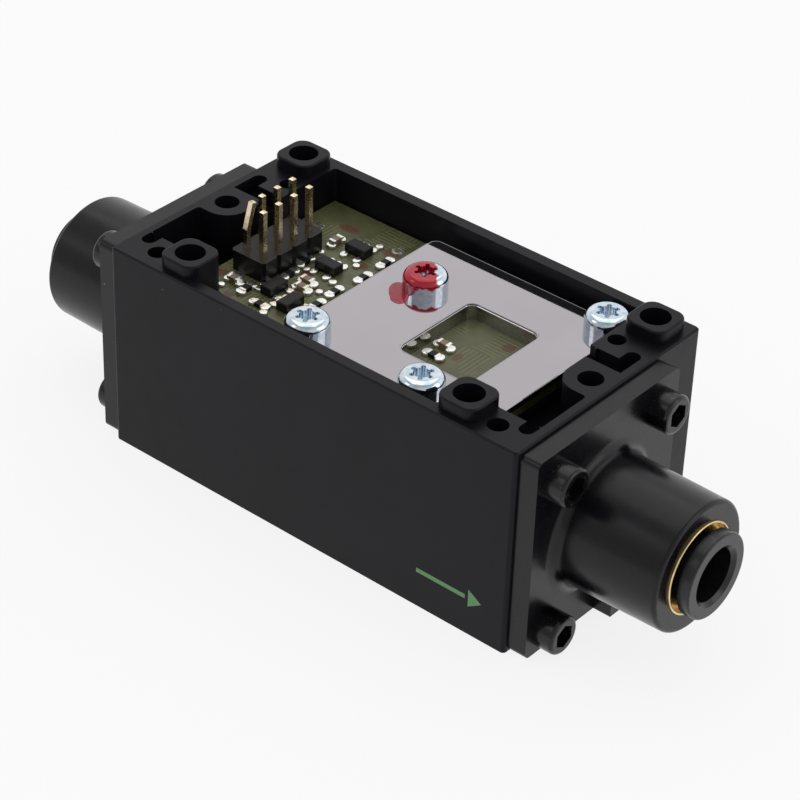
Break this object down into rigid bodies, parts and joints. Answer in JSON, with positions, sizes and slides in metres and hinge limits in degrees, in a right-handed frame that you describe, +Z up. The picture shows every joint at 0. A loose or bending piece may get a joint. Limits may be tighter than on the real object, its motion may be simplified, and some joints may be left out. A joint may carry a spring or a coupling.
{
  "type": "gas mass flow meter",
  "caption": "Open-topped gas mass flow meter: black moulded body, push-in tube port at each end, sensor board under a screwed steel plate, pin header.",
  "frame": {"origin": "middle of the body's underside, midway between the two ports' ends", "axes": "+X along the flow, towards the outlet; -Y out of the front face; +Z up, out of the open tray"},
  "size_m": [0.0934, 0.032, 0.0305],
  "materials": {
    "housing": "fine satin black moulding",
    "port": "glossy black moulding",
    "seal": "black rubber",
    "sleeve": "bright turned brass",
    "grip_ring": "spring steel",
    "collet": "satin dark grey plastic",
    "black_screw": "black oxide",
    "flow_steel": "stainless steel",
    "spacer": "satin black plastic",
    "board": "olive solder mask",
    "frame": "glass epoxy laminate",
    "plate": "mirror-polished stainless steel",
    "zinc_screw": "bright zinc plate",
    "insulator": "black moulding",
    "gold_pin": "gold plate",
    "package": "black moulding compound",
    "capacitor": "fired ceramic",
    "tinned": "bright solder"
  },
  "bodies": {
    "meter": {"housing": "housing", "outlet_port": "port", "inlet_port": "port", "outlet_port_seal": "seal", "inlet_port_seal": "seal", "outlet_tube_seal": "seal", "inlet_tube_seal": "seal", "outlet_brass_sleeve": "sleeve", "inlet_brass_sleeve": "sleeve", "outlet_grip_ring": "grip_ring", "inlet_grip_ring": "grip_ring", "outlet_flange_screws": "black_screw", "inlet_flange_screws": "black_screw", "flow_element": "flow_steel", "inlet_screen": "flow_steel", "outlet_screen": "flow_steel", "inlet_spacer": "spacer", "outlet_spacer": "spacer", "sensor_gasket": "seal", "sensor_chip": "package", "circuit_board": "board", "spacer_frame": "frame", "clamp_plate": "plate", "plate_screws": "zinc_screw", "header_body": "insulator", "header_pins": "gold_pin", "package_bodies": "package", "package_leads": "tinned", "chip_capacitors": "capacitor", "chip_resistors": "package", "chip_caps": "tinned"},
    "outlet_collet": {"outlet_release_collet": "collet"},
    "inlet_collet": {"inlet_release_collet": "collet"}
  },
  "joints": [
    {"name": "outlet_collet_push", "type": "slide", "parent": "meter", "child": "outlet_collet", "axis": [-1, 0, 0], "range_m": [0, 0.0008], "stiffness_N_per_m": 1000},
    {"name": "inlet_collet_push", "type": "slide", "parent": "meter", "child": "inlet_collet", "axis": [1, 0, 0], "range_m": [0, 0.0008], "stiffness_N_per_m": 1000}
  ]
}
